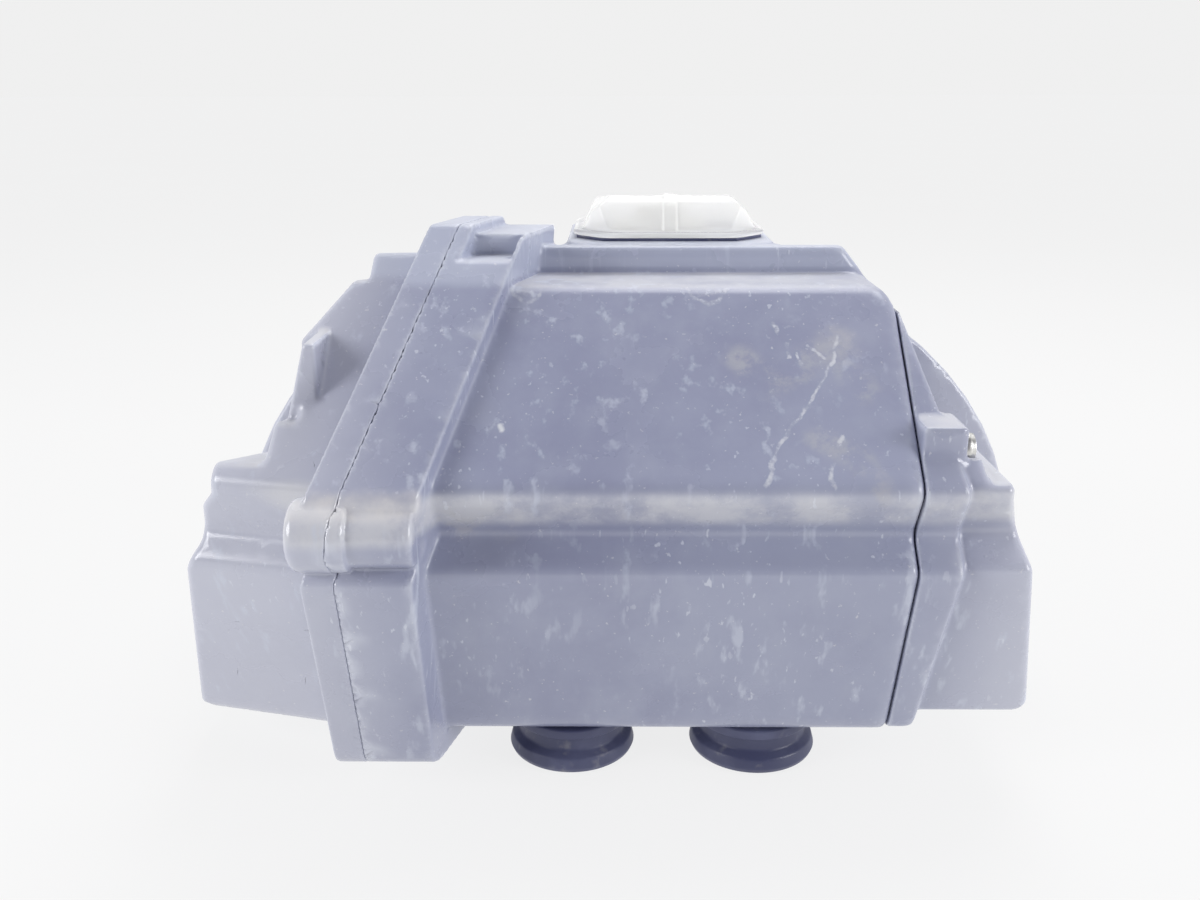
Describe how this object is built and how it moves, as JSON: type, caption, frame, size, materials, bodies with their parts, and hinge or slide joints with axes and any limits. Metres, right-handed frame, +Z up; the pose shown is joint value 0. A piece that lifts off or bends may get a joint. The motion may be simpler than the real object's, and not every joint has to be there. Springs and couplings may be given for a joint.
{
  "type": "motorized valve actuator",
  "caption": "Quarter-turn electric valve actuator: moulded housing with side covers, clear indicator dome, spur gear drive, cable collars and a flange with a square drive socket.",
  "frame": {"origin": "on the output axis, in the face of the flange pad that meets the valve", "axes": "+Z up the output axis to the indicator dome, +X to the right of the front panel, +Y to the rear cover"},
  "size_m": [0.2724, 0.194, 0.1708],
  "materials": {
    "housing": "scuffed moulded plastic",
    "rubber": "matt",
    "clear_dome": "clear, slightly hazed",
    "pale_plastic": "satin",
    "cast_alloy": "as cast, face machined",
    "bronze": "machined",
    "gear_steel": "hobbed and oiled",
    "plate_steel": "zinc plated",
    "steel": "plated",
    "motor_enamel": "satin",
    "black_plastic": "satin",
    "cam_plastic": "satin",
    "board_green": "solder mask",
    "terminal_green": "satin",
    "capacitor_can": "drawn can",
    "transformer_tape": "taped windings",
    "heater_ceramic": "ceramic"
  },
  "bodies": {
    "housing": {"body": "housing", "left_cover": "housing", "right_cover": "housing", "rear_cover": "housing", "left_gasket": "rubber", "right_gasket": "rubber", "rear_gasket": "rubber", "left_cover_screws": "steel", "right_cover_screws": "steel", "rear_cover_screws": "steel", "indicator_dome": "clear_dome", "dome_seal": "rubber", "indicator_dial": "pale_plastic", "left_cable_collar": "rubber", "right_cable_collar": "rubber", "base_plate": "cast_alloy", "base_seal": "rubber", "base_screws": "steel", "shaft_seal": "rubber", "output_bushing": "bronze", "upper_bushing": "bronze", "lower_frame_plate": "plate_steel", "upper_frame_plate": "plate_steel", "frame_posts": "plate_steel", "frame_screws": "steel", "second_idler_pin": "steel", "first_idler_pin": "steel", "motor_can": "motor_enamel", "motor_end_cap": "black_plastic", "motor_screws": "steel", "potentiometer": "black_plastic", "switch_bracket": "plate_steel", "open_limit_switch": "black_plastic", "close_limit_switch": "black_plastic", "circuit_board": "board_green", "terminal_block": "terminal_green", "terminal_screws": "steel", "motor_capacitor": "capacitor_can", "capacitor_clip": "black_plastic", "transformer": "transformer_tape", "anti_condensation_heater": "heater_ceramic"},
    "output_shaft": {"drive_shaft": "steel", "output_gear": "gear_steel", "gear_key": "steel", "retaining_ring": "steel", "open_cam": "cam_plastic", "close_cam": "cam_plastic", "feedback_gear": "pale_plastic", "position_indicator": "pale_plastic"},
    "second_idler": {"second_idler_gear": "gear_steel"},
    "first_idler": {"first_idler_gear": "gear_steel"},
    "rotor": {"motor_rotor": "steel", "motor_pinion": "bronze"},
    "feedback_wiper": {"potentiometer_gear": "pale_plastic"},
    "open_lever": {"open_switch_lever": "steel"},
    "close_lever": {"close_switch_lever": "steel"}
  },
  "joints": [
    {"name": "output_turn", "type": "hinge", "parent": "housing", "child": "output_shaft", "pos_m": [0, 0, 0], "axis": [0, 0, 1], "range_deg": [0, 90]},
    {"name": "second_idler_spin", "type": "hinge", "parent": "housing", "child": "second_idler", "pos_m": [0, -0.054, 0], "axis": [0, 0, 1], "range_deg": [-451, 1]},
    {"name": "first_idler_spin", "type": "hinge", "parent": "housing", "child": "first_idler", "pos_m": [-0.03311, -0.07161, 0], "axis": [0, 0, 1], "range_deg": [-1, 1801]},
    {"name": "rotor_spin", "type": "hinge", "parent": "housing", "child": "rotor", "pos_m": [-0.05239, -0.04862, 0], "axis": [0, 0, 1], "range_deg": [-7201, 1]},
    {"name": "feedback_spin", "type": "hinge", "parent": "housing", "child": "feedback_wiper", "pos_m": [0, 0.0256, 0], "axis": [0, 0, 1], "range_deg": [-271, 1]},
    {"name": "open_lever_swing", "type": "hinge", "parent": "housing", "child": "open_lever", "pos_m": [0.019, 0.014, 0], "axis": [0, 0, 1], "range_deg": [0, 8.1]},
    {"name": "close_lever_swing", "type": "hinge", "parent": "housing", "child": "close_lever", "pos_m": [0.019, 0.014, 0], "axis": [0, 0, 1], "range_deg": [-8.1, 0]}
  ],
  "couplings": [
    {"joint": "second_idler_spin", "follows": "output_turn", "ratio": -5},
    {"joint": "first_idler_spin", "follows": "output_turn", "ratio": 20},
    {"joint": "rotor_spin", "follows": "output_turn", "ratio": -80},
    {"joint": "feedback_spin", "follows": "output_turn", "ratio": -3},
    {"joint": "open_lever_swing", "follows": "output_turn", "ratio": 0.09},
    {"joint": "close_lever_swing", "follows": "output_turn", "ratio": -0.09}
  ]
}
